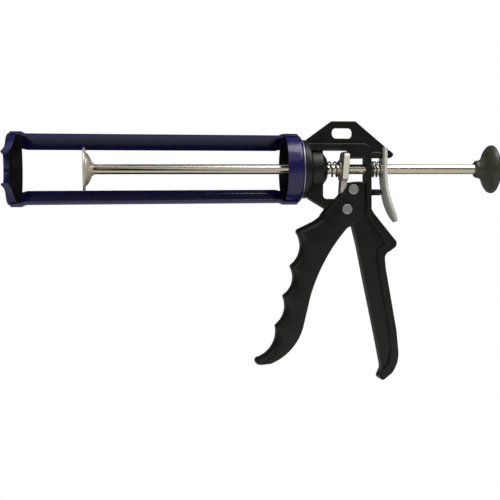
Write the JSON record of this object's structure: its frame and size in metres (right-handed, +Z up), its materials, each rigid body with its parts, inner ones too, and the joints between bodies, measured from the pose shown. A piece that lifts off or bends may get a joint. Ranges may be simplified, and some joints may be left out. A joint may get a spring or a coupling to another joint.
{
  "type": "caulking gun",
  "caption": "Hand-operated cartridge gun with an open rotating cradle, lever-driven hexagonal rod, dished plunger, cast body with grooved trigger, release lever and pull knob.",
  "frame": {"origin": "on the rod's axis at the inner face of the front cap, where a cartridge's shoulder seats", "axes": "+X along the rod back to the pull knob, +Z up with the handle hanging down, +Y to the far side"},
  "size_m": [0.4003, 0.0556, 0.2084],
  "materials": {
    "violet_enamel": "gloss powder coat",
    "black_casting": "satin black paint on die casting",
    "black_plastic": "moulded, satin",
    "zinc_washer": "zinc plated",
    "dark_steel": "black oxide",
    "rivet_steel": "peened, matt zinc",
    "bright_steel": "zinc plated",
    "spring_wire": "drawn wire",
    "bright_rod": "bright drawn",
    "zinc_lever": "dull zinc plate"
  },
  "bodies": {
    "frame": {"frame_casting": "black_casting", "swivel_washer": "zinc_washer", "cradle_retainer": "dark_steel", "front_bush": "black_plastic", "rear_bush": "black_plastic", "lever_stop": "black_plastic", "trigger_pivot_pin": "rivet_steel", "return_spring": "spring_wire", "lever_spring": "spring_wire"},
    "cradle": {"front_cap": "violet_enamel", "upper_strap": "violet_enamel", "lower_strap": "violet_enamel", "rear_collar": "violet_enamel"},
    "trigger": {"trigger": "black_casting", "drive_pin": "rivet_steel", "drive_roller": "bright_steel"},
    "drive_plate": {"drive_plate": "bright_steel", "spring_seat": "bright_steel"},
    "rod": {"rod": "bright_rod", "plunger_dish": "bright_steel", "plunger_hub": "bright_steel", "plunger_nut": "bright_steel", "pull_knob": "black_plastic"},
    "release_lever": {"release_lever": "zinc_lever"}
  },
  "joints": [
    {"name": "cradle_swivel", "type": "hinge", "parent": "frame", "child": "cradle", "pos_m": [0.2294, 0, 0], "axis": [1, 0, 0], "continuous": true},
    {"name": "rod_slide", "type": "slide", "parent": "frame", "child": "rod", "axis": [1, 0, 0], "range_m": [-0.056, 0.16]},
    {"name": "trigger_pivot", "type": "hinge", "parent": "frame", "child": "trigger", "pos_m": [0.2664, 0, -0.0323], "axis": [0, -1, 0], "range_deg": [0, 25], "stiffness_Nm_per_rad": 0.4, "springref_deg": -17.19, "deforming": ["return_spring"]},
    {"name": "drive_plate_slide", "type": "slide", "parent": "frame", "child": "drive_plate", "axis": [-1, 0, 0], "range_m": [0, 0.0075]},
    {"name": "release_lever_tilt", "type": "hinge", "parent": "frame", "child": "release_lever", "pos_m": [0.2979, 0, 0.012], "axis": [0, 1, 0], "range_deg": [0, 2.2], "stiffness_Nm_per_rad": 0.15, "springref_deg": -5.73, "deforming": ["lever_spring"]}
  ],
  "couplings": [
    {"joint": "drive_plate_slide", "follows": "trigger_pivot", "m_per_rad": 0.0163}
  ]
}
